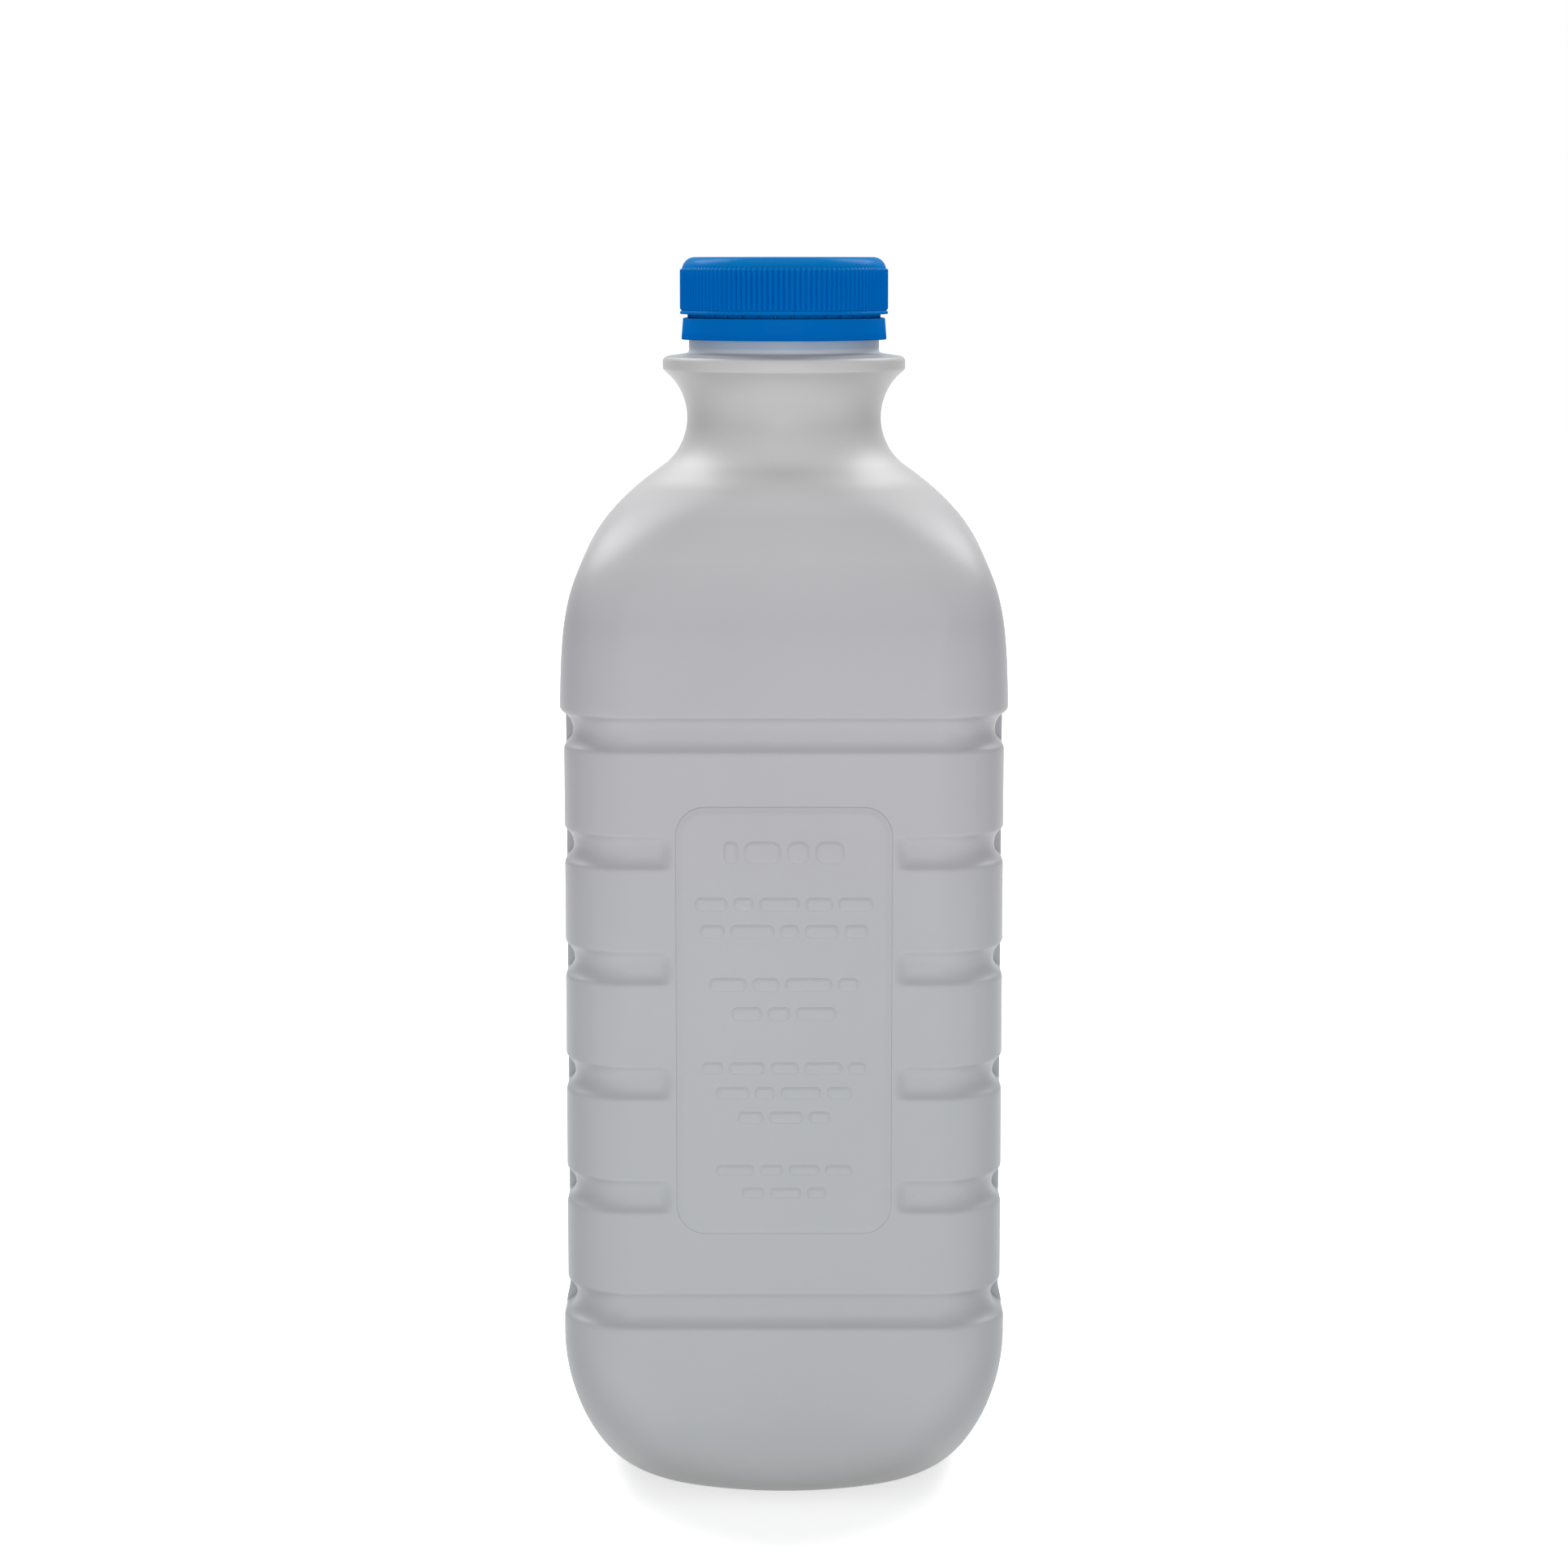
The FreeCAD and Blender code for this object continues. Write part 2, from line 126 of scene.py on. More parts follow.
class MilkBottleBodySettings(bpy.types.PropertyGroup):
    """Sizes of the bottle's wall."""

    half_width: size("Half Width", BOTTLE_HIGH.x, "Half the body's width at the bumpers")
    top: size("Neck Top", BOTTLE_HIGH.z, "Height of the neck's top inside the cap")
    corner_radius: size("Corner Radius", 0.0135, "Radius of the body's upright corners")
    bumper_step: size("Bumper Step", 0.0007, "How far the bumpers stand out from the faces")
    heel_height: size("Heel Height", 0.0312, "Height of the rounded heel")
    heel_drop: size("Heel Drop", 0.0029, "How stiffly the heel leaves the upright wall")
    foot_half_width: size("Foot Half Width", 0.0285, "Half width of the flat foot")
    foot_core: size("Foot Core", 0.00725, "Half length of the foot's flat sides")
    foot_reach: size("Foot Reach", 0.0129, "How stiffly the heel runs into the foot")
    foot_angle: turn("Foot Angle", 81.0, "Slope of the heel where it meets the foot")
    heel_power: number("Heel Rounding", 1.9, "How late the heel's plan turns round")
    heel_bulge: turn("Heel Bulge", 32.0, "Bow of the heel's faces once they are round")
    recess_radius: size("Recess Radius", 0.020, "Radius of the shallow dish under the base")
    recess_depth: size("Recess Depth", 0.002, "Depth of the shallow dish under the base")
    lower_bumper: size("Lower Bumper", 0.0026, "Height of the lower bumper's upright band")
    groove_count: count("Grooves", 6, "Number of grooves up the body")
    groove_pitch: size("Groove Pitch", 0.0211, "Spacing of the grooves")
    groove_depth: size("Groove Depth", 0.0017, "Depth of the grooves below the faces")
    front_groove_share: number("Front Groove Share", 0.62,
                               "Depth of a groove on the front and back, against the sides")
    groove_ease: number("Groove Ease", 0.7,
                        "Share of a corner over which a groove comes to its full depth")
    groove_radius: size("Groove Radius", 0.0036, "Radius of a groove's bottom")
    lip_radius: size("Lip Radius", 0.00125, "Radius of a groove's lips")
    front_land: size("Front Land", 0.0210, "Half length of the plain land on the front and back")
    side_land: size("Side Land", 0.0210, "Half length of the plain land on the sides")
    front_wall: size("Front Wall", 0.0026, "Width of the soft wall where a front groove ends")
    side_wall: size("Side Wall", 0.0005, "Width of the steep wall where a side groove ends")
    side_foot_rise: size("Side Foot Rise", 0.0005, "Where the side land's sloped foot ends")
    side_top_rise: size("Side Top Rise", 0.0017, "Where the side land's top step begins")
    side_step: size("Side Step", 0.0008, "Height of the side land's top step")
    shoulder_rise: size("Shoulder Rise", 0.051, "Height from the top bumper to the waist")
    shoulder_draft: turn("Shoulder Draft", 1.2, "Lean of the wall as the shoulder begins")
    shoulder_low_reach: size("Lower Reach", 0.0204, "How long the shoulder stays upright")
    shoulder_high_reach: size("Upper Reach", 0.0203, "How long the shoulder keeps its slope")
    square_hold: size("Square Hold", 0.0042, "Height over which the shoulder stays square")
    rounding_rise: size("Rounding Rise", 0.0352, "Height over which the shoulder turns round")
    rounding_power: number("Shoulder Rounding", 4.2, "How late the shoulder turns round")
    shoulder_bulge: turn("Shoulder Bulge", 17.0, "Bow of the shoulder's faces once round")
    waist_radius: size("Waist Radius", 0.01797, "Radius of the waist")
    waist_curve: size("Waist Curve", 0.01096, "Radius of the waist's hollow curve")
    waist_angle: turn("Waist Angle", 54.8, "How far down the waist's curve reaches")
    collar_overhang: size("Collar Overhang", 0.0049, "How far the collar stands out of the neck")
    collar_low_edge: size("Collar Lower Edge", 0.0008, "Radius of the collar's lower edge")
    collar_high_edge: size("Collar Upper Edge", 0.0010, "Radius of the collar's upper edge")
    collar_band: size("Collar Band", 0.0011, "Height of the collar's upright edge")
    collar_slope: size("Collar Slope", 0.0005, "Rise of the collar's top towards the neck")
    neck_radius: size("Neck Radius", 0.0176, "Radius of the neck")
    neck_fillet: size("Neck Fillet", 0.0007, "Radius of the fillet under the neck")
    seam_height: size("Seam Height", 0.00010, "How far the mould's parting line stands out")
    seam_width: size("Seam Width", 0.00022, "Half width of the mould's parting line")
    seam_foot: number("Seam Foot", 0.5, "Share of the heel's height where the line ends")


class MilkBottlePanelSettings(bpy.types.PropertyGroup):
    """Sizes of the raised panels and of the marks on them."""

    half_width: size("Half Width", 0.0195, "Half width of the panel")
    above: size("Overhang Above", 0.0084, "How far the panel reaches above its top groove")
    below: size("Overhang Below", 0.0068, "How far the panel reaches below its bottom groove")
    corner_radius: size("Corner Radius", 0.0053, "Radius of the panel's corners")
    height: size("Height", 0.00024, "How far the panel stands out of the face")
    root: size("Root", 0.0006, "How deep a raised piece reaches into what carries it")
    edge: size("Edge", 0.0016, "Width of the panel's soft edge")
    mark_height: size("Mark Height", 0.00016, "How far the marks stand out of the panel")
    mark_edge: size("Mark Edge", 0.0006, "Width of the marks' soft edge")
    mark_gap: size("Mark Gap", 0.0011, "Space between two marks in a row")
    mark_rounding: number("Mark Rounding", 0.4, "Corner radius against a mark's shorter side")


class MilkBottleCapSettings(bpy.types.PropertyGroup):
    """Sizes of the screw cap and the tamper band."""

    radius: size("Radius", CAP_HIGH.x, "Radius over the ribs")
    bottom: size("Bottom", CAP_LOW.z, "Height of the cap's lower rim")
    top: size("Top", CAP_HIGH.z, "Height of the cap's top")
    bore: size("Bore", 0.01785, "Radius of the cap's inside")
    rim_height: size("Rim Height", 0.0007, "Height of the plain rim under the ribs")
    rim_edge: size("Rim Edge", 0.00018, "Radius of the rim's edges")
    rib_count: count("Ribs", 120, "Number of grip ribs")
    rib_depth: size("Rib Depth", 0.0005, "Height of a grip rib")
    rib_length: size("Rib Length", 0.0077, "Length of a grip rib")
    crown_inset: size("Crown Inset", 0.00042, "How far the crown stands back from the ribs")
    crown_edge: size("Crown Edge", 0.0024, "Radius of the crown's round edge")
    gate_radius: size("Gate Radius", 0.0012, "Radius of the moulding mark in the top's middle")
    gate_depth: size("Gate Depth", 0.00015, "Depth of the moulding mark in the top's middle")
    band_bottom: size("Band Bottom", BAND_LOW.z, "Height of the tamper band's lower edge")
    band_top_wall: size("Band Top Wall", 0.00099, "Wall of the tamper band at its top")
    band_bottom_wall: size("Band Bottom Wall", 0.00127, "Wall of the tamper band at its foot")
    band_height: size("Band Height", 0.0040, "Height of the tamper band")
    band_edge: size("Band Edge", 0.0002, "Radius of the tamper band's edges")
    bridge_count: count("Bridges", 36, "Number of bridges between band and cap")
    bridge_wall: size("Bridge Wall", 0.00015, "Wall of a bridge")
    bridge_gap: size("Bridge Gap", 0.0001, "Space between two bridges")


class MilkBottleFinishSettings(bpy.types.PropertyGroup):
    """Colours of the bottle, the cap and the studio, some of them painted light."""

    wall: paint("Wall", (0.454, 0.447, 0.475), "Colour of the bottle's wall")
    # Painted light: the wall is paler just above the floor, as if lit from it
    foot: paint("Foot", (0.500, 0.500, 0.500), "Colour of the wall just above the floor")
    heel: paint("Lower Wall", (0.438, 0.454, 0.473), "Colour of the wall's lower part")
    # Painted light on the shoulder, paler towards its top
    low_shoulder_painted_light: paint("Low Shoulder", (0.571, 0.565, 0.584), "Colour half way up the shoulder")
    shoulder: paint("Shoulder", (0.750, 0.743, 0.750), "Colour of the top of the shoulder")
    # Painted light on the neck, which is paler than the wall
    neck: paint("Neck", (0.551, 0.548, 0.553), "Colour of the neck")
    # Painted light where the neck meets the collar, against the shade in that crease
    neck_foot: paint("Neck Foot", (0.824, 0.847, 0.882),
                     "Pale colour where the neck meets the collar")
    # Painted bluish light from the cap's band, on the neck just under it
    painted_band_light: paint("Under Band", (0.394, 0.494, 0.624), "Bluish colour just under the band")
    cap: paint("Cap", (0.0, 0.134, 0.500), "Colour of the cap and the tamper band")
    # Painted sheen: this paler blue is mixed in where the cap faces up
    crown: paint("Crown", (0.0, 0.188, 0.535), "Colour of the cap's smooth crown")
    floor: paint("Floor", (0.85, 0.85, 0.85), "Colour of the floor")


# Mesh helpers

def mix(first, second, share):
    """Value part of the way from the first to the second."""
    return first + (second - first) * share


def smooth_step(share):
    """Soft ramp from 0 to 1."""
    share = min(max(share, 0.0), 1.0)
    return share * share * (3 - 2 * share)


def steps(parts):
    """Even shares from 0 to 1."""
    return [index / parts for index in range(parts + 1)]


def arc(across, height, radius, start, end, parts):
    """Points of an outline round part of a circle, whose middle comes first."""
    angles = [mix(start, end, share) for share in steps(parts)]
    return [(across + radius * math.cos(angle), height + radius * math.sin(angle))
            for angle in angles]


def new_corners(result):
    """Vertices that an operator has made."""
    return [item for item in result["geom"] if isinstance(item, bmesh.types.BMVert)]


def add_object(name, data):
    """New object in the scene."""
    new = bpy.data.objects.new(name, data)
    bpy.context.scene.collection.objects.link(new)
    return new


def finish_piece(bm, name, material, nodes):
    """Turns a bmesh into a smooth piece that rides on the body and hides its CAD nodes."""
    bmesh.ops.recalc_face_normals(bm, faces=bm.faces)
    mesh = bpy.data.meshes.new(name)
    bm.to_mesh(mesh)
    bm.free()
    mesh.polygons.foreach_set("use_smooth", [True] * len(mesh.polygons))
    mesh.materials.append(material)
    piece = add_object(name, mesh)
    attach(piece, BODY)
    for node in nodes:
        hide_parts(node)


def wrapped_grid(columns, rows, place):
    """Grid rolled into a closed skin, where place(column, row) gives each point."""
    bm = bmesh.new()
    bmesh.ops.create_grid(bm, x_segments=columns, y_segments=rows - 1, size=1.0)
    for vertex in bm.verts:
        column = round((vertex.co.x + 1) / 2 * columns) % columns
        row = round((vertex.co.y + 1) / 2 * (rows - 1))
        vertex.co = place(column, row)
    bmesh.ops.remove_doubles(bm, verts=bm.verts, dist=MERGE_DISTANCE)
    bmesh.ops.dissolve_degenerate(bm, edges=bm.edges, dist=SHORTEST_EDGE)
    if any(not edge.is_manifold for edge in bm.edges):
        raise RuntimeError("the skin isn't closed")
    return bm


def ring_point(radius, height, share):
    """Point on a level ring, a share of the way round."""
    angle = 2 * math.pi * share
    return Vector((radius * math.cos(angle), radius * math.sin(angle), height))


# The bottle's wall

def bezier(points, share):
    """Point on a cubic curve with four control points."""
    rest = 1 - share
    weights = (rest ** 3, 3 * rest ** 2 * share, 3 * rest * share ** 2, share ** 3)
    return (sum(weight * point[0] for weight, point in zip(weights, points)),
            sum(weight * point[1] for weight, point in zip(weights, points)))


def plain_row(height, half_width, core, bulge):
    """Row whose half width is the same all the way round."""
    bulge = max(bulge, LEAST_BULGE)
    return Row(height, half_width, half_width, half_width, half_width, core, bulge)


def lip_offset(body, half_width):
    """Height from a groove's middle to where its lip meets a face of this half width."""
    reach = body.groove_radius + body.lip_radius
    floor = body.half_width - body.bumper_step - body.groove_depth
    across = floor + body.groove_radius - (half_width - body.lip_radius)
    return math.sqrt(reach ** 2 - across ** 2)


def groove_heights(body):
    """Heights of the grooves' middles, from the bottom up."""
    lowest = body.heel_height + body.lower_bumper + lip_offset(body, body.half_width)
    return [lowest + index * body.groove_pitch for index in range(body.groove_count)]


def base_rows(body):
    """Dish under the base, flat foot and rounded heel, from the middle of the base up."""
    core = body.half_width - body.corner_radius
    dome_radius = (body.recess_radius ** 2 + body.recess_depth ** 2) / (2 * body.recess_depth)
    inside_edge = 0.99
    outside_edge = 1.015
    rows = []
    for share in steps(DISH_STEPS):
        radius = body.recess_radius * share * inside_edge
        height = math.sqrt(dome_radius ** 2 - radius ** 2) - dome_radius + body.recess_depth
        rows.append(plain_row(height, radius, 0.0, body.heel_bulge))
    rows.append(plain_row(0.0, body.recess_radius * outside_edge, 0.0, body.heel_bulge))
    foot_bulge = body.heel_bulge * (1 - body.foot_core / core)
    for share in (0.5, 0.95):
        rows.append(plain_row(0.0, mix(body.recess_radius, body.foot_half_width, share),
                              body.foot_core * share, mix(body.heel_bulge, foot_bulge, share)))
    curve = (
        (body.half_width, body.heel_height),
        (body.half_width, body.heel_height - body.heel_drop),
        (body.foot_half_width + body.foot_reach * math.sin(body.foot_angle),
         body.foot_reach * math.cos(body.foot_angle)),
        (body.foot_half_width, 0.0),
    )
    for share in reversed(steps(HEEL_STEPS)):
        half_width, height = bezier(curve, share)
        half_width = min(half_width, body.half_width)
        rounding = ((body.heel_height - height) / body.heel_height) ** body.heel_power
        row_core = mix(core, body.foot_core, rounding)
        rows.append(plain_row(height, half_width, row_core,
                              body.heel_bulge * (1 - row_core / core)))
    return rows


def side_wall(body, height, grooves):
    """Half width of the plain side land at a height."""
    face = body.half_width - body.bumper_step
    foot = grooves[0] - lip_offset(body, body.half_width)
    slope_top = grooves[0] + body.side_foot_rise
    step_foot = grooves[-1] + body.side_top_rise
    if height < slope_top:
        return mix(body.half_width, face, smooth_step((height - foot) / (slope_top - foot)))
    return mix(face, body.half_width, smooth_step((height - step_foot) / body.side_step))


def groove_curve(body, middle, lower_face, upper_face):
    """Half widths and heights across one groove, from its lower lip to its upper lip."""
    reach = body.groove_radius + body.lip_radius
    centre = body.half_width - body.bumper_step - body.groove_depth + body.groove_radius
    lower_bend = math.acos((centre - lower_face + body.lip_radius) / reach)
    upper_bend = math.acos((centre - upper_face + body.lip_radius) / reach)
    lower_lip = arc(lower_face - body.lip_radius, middle - lip_offset(body, lower_face),
                    body.lip_radius, 0.0, lower_bend, LIP_STEPS)
    bottom = arc(centre, middle, body.groove_radius, math.pi + lower_bend, math.pi - upper_bend,
                 GROOVE_STEPS)
    upper_lip = arc(upper_face - body.lip_radius, middle + lip_offset(body, upper_face),
                    body.lip_radius, -upper_bend, 0.0, LIP_STEPS)
    return lower_lip[:-1] + bottom + upper_lip[1:]


def grooved_rows(body):
    """Straight middle of the body, with its grooves and lands."""
    core = body.half_width - body.corner_radius
    face = body.half_width - body.bumper_step
    grooves = groove_heights(body)
    rows = []
    for middle in grooves:
        lowest = middle == grooves[0]
        highest = middle == grooves[-1]
        lower_face = body.half_width if lowest else face
        upper_face = body.half_width if highest else face
        front = None if lowest or highest else face
        curve = groove_curve(body, middle, lower_face, upper_face)
        foot = curve[0][1]
        top = curve[-1][1]
        for half_width, height in curve:
            plain = mix(lower_face, upper_face, (height - foot) / (top - foot))
            side = side_wall(body, height, grooves)
            rows.append(Row(height, half_width, plain, front, side, core, LEAST_BULGE))
        if not highest:
            lip = lip_offset(body, face)
            for share in (0.33, 0.67):
                height = mix(middle + lip, middle + body.groove_pitch - lip, share)
                rows.append(plain_row(height, face, core, LEAST_BULGE))
    return rows


def shoulder_rows(body, shoulder_z):
    """Shoulder, where the square plan turns round, up to the waist's hollow curve."""
    core = body.half_width - body.corner_radius
    waist_z = shoulder_z + body.shoulder_rise
    joint = (body.waist_radius + body.waist_curve * (1 - math.cos(body.waist_angle)),
             waist_z - body.waist_curve * math.sin(body.waist_angle))
    curve = (
        (body.half_width, shoulder_z),
        (body.half_width - body.shoulder_low_reach * math.sin(body.shoulder_draft),
         shoulder_z + body.shoulder_low_reach * math.cos(body.shoulder_draft)),
        (joint[0] + body.shoulder_high_reach * math.sin(body.waist_angle),
         joint[1] - body.shoulder_high_reach * math.cos(body.waist_angle)),
        joint,
    )
    rows = []
    for share in steps(SHOULDER_STEPS)[1:]:
        half_width, height = bezier(curve, share)
        rise = (height - shoulder_z - body.square_hold) / body.rounding_rise
        rounding = min(max(rise, 0.0), 1.0) ** body.rounding_power
        rows.append(plain_row(height, half_width, core * (1 - rounding),
                              body.shoulder_bulge * rounding))
    return rows


def collar_rows(body, shoulder_z):
    """Waist, collar and neck, up to the middle of the neck's top."""
    waist_z = shoulder_z + body.shoulder_rise
    collar_radius = body.neck_radius + body.collar_overhang
    edge_x = collar_radius - body.collar_low_edge
    across = body.waist_radius + body.waist_curve - edge_x
    rise_angle = math.acos(across / (body.waist_curve + body.collar_low_edge))
    edge_z = waist_z + (body.waist_curve + body.collar_low_edge) * math.sin(rise_angle)
    high_z = edge_z + body.collar_band
    outer = collar_radius - body.collar_high_edge
    top_z = high_z + body.collar_high_edge
    inner = body.neck_radius + body.neck_fillet
    neck_foot = top_z + body.collar_slope
    fillet_z = neck_foot + body.neck_fillet
    points = arc(body.waist_radius + body.waist_curve, waist_z, body.waist_curve,
                 math.pi + body.waist_angle, math.pi - rise_angle, WAIST_STEPS)[1:]
    points += arc(edge_x, edge_z, body.collar_low_edge, -rise_angle, 0.0, LIP_STEPS)[1:]
    points += arc(outer, high_z, body.collar_high_edge, 0.0, RIGHT_ANGLE, COLLAR_STEPS)
    points += [(mix(outer, inner, share), mix(top_z, neck_foot, share)) for share in (0.4, 0.85)]
    points += arc(inner, fillet_z, body.neck_fillet, -RIGHT_ANGLE, -math.pi, LIP_STEPS)
    points += [(body.neck_radius, mix(fillet_z, body.top, share)) for share in (0.3, 0.98, 1.0)]
    points += [(body.neck_radius * 0.97, body.top), (0.0, body.top)]
    return [plain_row(height, radius, 0.0, body.shoulder_bulge) for radius, height in points]


def wall_rows(body):
    """Every row of the bottle's wall, from the middle of the base to the middle of the top."""
    shoulder_z = groove_heights(body)[-1] + lip_offset(body, body.half_width)
    return (base_rows(body) + grooved_rows(body) + shoulder_rows(body, shoulder_z)
            + collar_rows(body, shoulder_z))


def face_stations(body, land, wall_width):
    """Distances from a face's middle to its edge, close together at the seam and the land's end."""
    core = body.half_width - body.corner_radius
    seam = [0.0, body.seam_width, 2.5 * body.seam_width]
    plain = [land * share for share in LAND_SHARES]
    wall = [land + wall_width * share for share in WALL_SHARES]
    rest = [mix(wall[-1], core, share) for share in steps(FACE_END_STEPS)[1:]]
    return seam + plain + wall + rest


def is_side(quarter):
    """Whether this quarter's face is the left or right side, and not the front or back."""
    return quarter % 2 == 0


def land_size(body, quarter):
    """Half length of a face's plain land, and width of the wall between land and groove."""
    if is_side(quarter):
        return body.side_land, body.side_wall
    return body.front_land, body.front_wall


def wall_columns(body):
    """Columns round the wall: four faces and four corners."""
    core = body.half_width - body.corner_radius
    columns = []
    for quarter in range(4):
        half = face_stations(body, *land_size(body, quarter))
        for distance in [-station for station in reversed(half[1:])] + half:
            columns.append(Column(quarter, True, distance / core, distance))
        for share in steps(CORNER_STEPS)[1:-1]:
            columns.append(Column(quarter, False, share, 0.0))
    return columns


def groove_share(body, column):
    """How deep a groove is in this column: shallower on the front and back, full on the sides."""
    on_side = is_side(column.quarter)
    if column.on_face:
        deep = 1.0 if on_side else 0.0
    else:
        past_front = 1 - column.share if on_side else column.share
        deep = smooth_step(past_front / body.groove_ease)
    return mix(body.front_groove_share, 1.0, deep)


def wall_half_width(body, row, column):
    """Half width of the wall at one corner of the skin, with its land and seam."""
    groove = mix(row.plain, row.groove, groove_share(body, column))
    if not column.on_face:
        return groove
    on_side = is_side(column.quarter)
    land_end, wall_width = land_size(body, column.quarter)
    land = row.side if on_side else row.front
    past = smooth_step((abs(column.distance) - land_end) / wall_width + 0.5)
    half_width = groove if land is None else mix(land, groove, past)
    if on_side and row.height > body.heel_height * body.seam_foot and row.groove > 0:
        seam = body.seam_height * math.exp(-(column.distance / body.seam_width) ** 2)
        half_width = min(half_width + seam, max(half_width, body.half_width))
    return half_width


def section_point(half_width, core, bulge, column, height):
    """Point of a rounded-square section: four bowed faces joined by round corners."""
    corner_radius = half_width - core * (1 + math.tan(bulge / 2))
    if column.on_face:
        face_radius = corner_radius + core / math.sin(bulge)
        angle = bulge * column.share
        across = half_width - 2 * face_radius * math.sin(angle / 2) ** 2
        along = face_radius * math.sin(angle)
    else:
        angle = mix(bulge, RIGHT_ANGLE - bulge, column.share)
        across = core + corner_radius * math.cos(angle)
        along = core + corner_radius * math.sin(angle)
    for _ in range(column.quarter):
        across, along = -along, across
    return Vector((across, along, height))


class MILKBOTTLE_OT_body(bpy.types.Operator):
    """Build the bottle's wall as one closed skin"""

    bl_idname = "milk_bottle.body"
    bl_label = "Bottle Wall"

    def execute(self, context):
        body = context.scene.milk_bottle_body
        rows = wall_rows(body)
        columns = wall_columns(body)

        def place(column, row):
            half_width = wall_half_width(body, rows[row], columns[column])
            return section_point(half_width, rows[row].core, rows[row].bulge, columns[column],
                                 rows[row].height)

        bm = wrapped_grid(len(columns), len(rows), place)
        finish_piece(bm, "bottle_wall", wall_material(context), ["bottle"])
        return {"FINISHED"}


# Raised panels and the marks on them

def panel_heights(body, panel):
    """Lowest and highest height of the panel."""
    grooves = groove_heights(body)
    return grooves[1] - panel.below, grooves[-2] + panel.above


def both_faces(bm):
    """Copies what is on the front face onto the back face, turned half round."""
    copy = bmesh.ops.duplicate(bm, geom=bm.verts[:] + bm.edges[:] + bm.faces[:])
    bmesh.ops.rotate(bm, verts=new_corners(copy), cent=Vector(),
                     matrix=Matrix.Rotation(math.pi, 3, "Z"))


def raised_plate(bm, low, high, face, height, root, corner_radius, corner_segments, edge):
    """Soft-edged plate on the front face with round corners, from (x, z) low to (x, z) high."""
    grid = bmesh.ops.create_grid(bm, x_segments=1, y_segments=1, size=0.5)
    centre = ((low[0] + high[0]) / 2, root - face, (low[1] + high[1]) / 2)
    extent = (high[0] - low[0], high[1] - low[1], 1.0, 1.0)
    place = (Matrix.Translation(centre) @ Matrix.Rotation(RIGHT_ANGLE, 4, "X")
             @ Matrix.Diagonal(extent))
    bmesh.ops.transform(bm, matrix=place, verts=grid["verts"])
    rounded = bmesh.ops.bevel(bm, geom=grid["verts"], offset=corner_radius, offset_type="OFFSET",
                              segments=corner_segments, profile=0.5, affect="VERTICES",
                              material=-1)
    back = rounded["verts"][0].link_faces[0]
    raised = bmesh.ops.extrude_face_region(bm, geom=[back], use_keep_orig=True)
    top = next(item for item in raised["geom"] if isinstance(item, bmesh.types.BMFace))
    bmesh.ops.translate(bm, verts=new_corners(raised), vec=Vector((0, -root, 0)))
    bm.normal_update()
    if top.normal.y > 0:
        bmesh.ops.reverse_faces(bm, faces=[top])
    rise = 0.0
    for share in steps(PLATE_STEPS)[1:]:
        lift = height * smooth_step(share)
        bmesh.ops.inset_region(bm, faces=[top], thickness=edge / PLATE_STEPS, depth=lift - rise)
        rise = lift


class MILKBOTTLE_OT_panels(bpy.types.Operator):
    """Build the raised panels on the front and back faces"""

    bl_idname = "milk_bottle.panels"
    bl_label = "Raised Panels"

    corner_segments = 14

    def execute(self, context):
        body = context.scene.milk_bottle_body
        panel = context.scene.milk_bottle_panel
        face = body.half_width - body.bumper_step
        low, high = panel_heights(body, panel)
        bm = bmesh.new()
        raised_plate(bm, (-panel.half_width, low), (panel.half_width, high), face, panel.height,
                     panel.root, panel.corner_radius, self.corner_segments, panel.edge)
        both_faces(bm)
        finish_piece(bm, "panels", wall_material(context), [])
        return {"FINISHED"}


# Rows of marks: a row's height as a share of the panel's, its thickness and its marks' lengths
MARK_ROWS = (
    (0.895, 0.0040, (0.0026, 0.0066, 0.0040, 0.0052)),
    (0.775, 0.0024, (0.0058, 0.0036, 0.0072, 0.0048, 0.0062)),
    (0.712, 0.0024, (0.0044, 0.0078, 0.0034, 0.0060, 0.0042)),
    (0.588, 0.0024, (0.0067, 0.0048, 0.0084, 0.0037)),
    (0.520, 0.0024, (0.0054, 0.0040, 0.0072)),
    (0.392, 0.0022, (0.0038, 0.0064, 0.0050, 0.0068, 0.0032)),
    (0.334, 0.0022, (0.0060, 0.0035, 0.0073, 0.0045)),
    (0.276, 0.0022, (0.0046, 0.0061, 0.0039)),
    (0.152, 0.0019, (0.0068, 0.0042, 0.0055, 0.0048)),
    (0.098, 0.0019, (0.0040, 0.0056, 0.0034)),
)


class MILKBOTTLE_OT_marks(bpy.types.Operator):
    """Build rows of plain raised marks on the panels"""

    bl_idname = "milk_bottle.marks"
    bl_label = "Raised Marks"

    corner_segments = 5

    def execute(self, context):
        body = context.scene.milk_bottle_body
        panel = context.scene.milk_bottle_panel
        face = body.half_width - body.bumper_step + panel.height
        low, high = panel_heights(body, panel)
        bm = bmesh.new()
        for share, thickness, lengths in MARK_ROWS:
            middle = mix(low, high, share)
            start = -(sum(lengths) + panel.mark_gap * (len(lengths) - 1)) / 2
            for length in lengths:
                corner_radius = min(thickness, length) * panel.mark_rounding
                raised_plate(bm, (start, middle - thickness / 2),
                             (start + length, middle + thickness / 2), face, panel.mark_height,
                             panel.root, corner_radius, self.corner_segments, panel.mark_edge)
                start += length + panel.mark_gap
        both_faces(bm)
        finish_piece(bm, "panel_marks", wall_material(context), [])
        return {"FINISHED"}


# Screw cap and tamper band

def rib_profile(share):
    """Height of a rib across its width, 1 at its crest and 0 in the valley."""
    offset = abs(share - 0.5) * 2
    return math.sqrt(max(0.0, 1 - offset ** 2))


